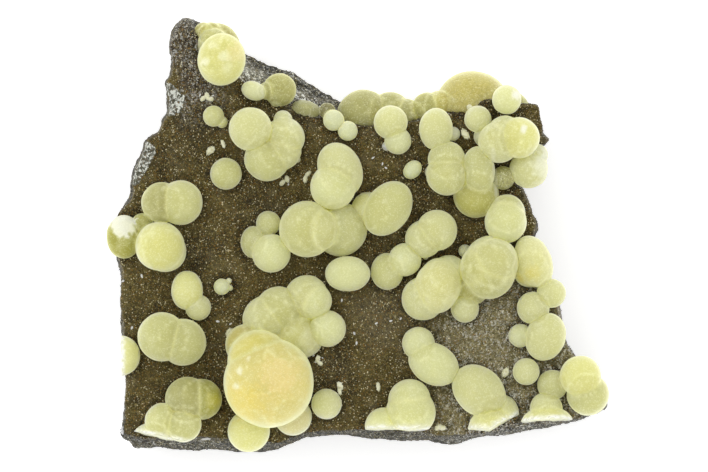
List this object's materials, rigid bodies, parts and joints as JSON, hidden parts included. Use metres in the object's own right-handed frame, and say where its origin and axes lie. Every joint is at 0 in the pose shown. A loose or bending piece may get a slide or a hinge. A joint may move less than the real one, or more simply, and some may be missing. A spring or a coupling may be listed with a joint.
{
  "type": "calcite ball specimen on matrix",
  "caption": "Broken slab of dark drusy rock lying on its flat back, its face grown over with frosted yellow-green calcite balls, single and fused in banks",
  "frame": {"origin": "middle of the underside's bounding box, on the surface that the slab's flat broken back rests on", "axes": "+X along the long lower edge of the slab, to the right as seen from above with the peak away from the viewer; +Y towards the peak; +Z out of the crystal face, up"},
  "size_m": [0.0856, 0.0742, 0.0307],
  "materials": {
    "rock": "dark brown rock with a fine sparkling druse, fresh grey breaks along the edges",
    "calcite": "frosted, slightly translucent yellow-green calcite with pale rims",
    "orange_calcite": "frosted orange-yellow calcite ball grown together with pale yellow-green ones",
    "grey_green_calcite": "translucent grey-green calcite with a sparkling surface",
    "white_calcite": "small white to clear calcite crystals, satin"
  },
  "bodies": {
    "root": {"matrix_rock": "rock", "peak_balls": "calcite", "brow_balls": "calcite", "brow_dome": "calcite", "brow_twins": "calcite", "rear_bank": "grey_green_calcite", "pointed_bead": "calcite", "upper_left_balls": "calcite", "left_bead": "calcite", "centre_bank": "calcite", "pale_egg": "calcite", "chain_balls": "calcite", "upper_pair": "calcite", "upper_bead": "calcite", "right_bank": "calcite", "corner_bead": "calcite", "left_bank": "calcite", "left_half_ball": "calcite", "left_duo": "calcite", "left_pair": "calcite", "orange_bank": "orange_calcite", "lower_bead": "calcite", "lower_bank": "calcite", "lower_trio": "calcite", "lower_left_balls": "calcite", "lower_right_bead": "calcite", "corner_bank": "calcite", "notched_bead": "calcite", "star_crystals": "white_calcite", "sliver_crystal": "white_calcite", "left_crystal": "white_calcite", "centre_crystal": "white_calcite", "centre_low_crystal": "white_calcite", "ball_side_crystal": "white_calcite", "foot_crystals": "white_calcite", "post_crystal": "white_calcite", "small_post_crystal": "white_calcite", "grey_crystal": "white_calcite", "right_crystal": "white_calcite", "sill_crystals": "white_calcite"}
  },
  "joints": []
}
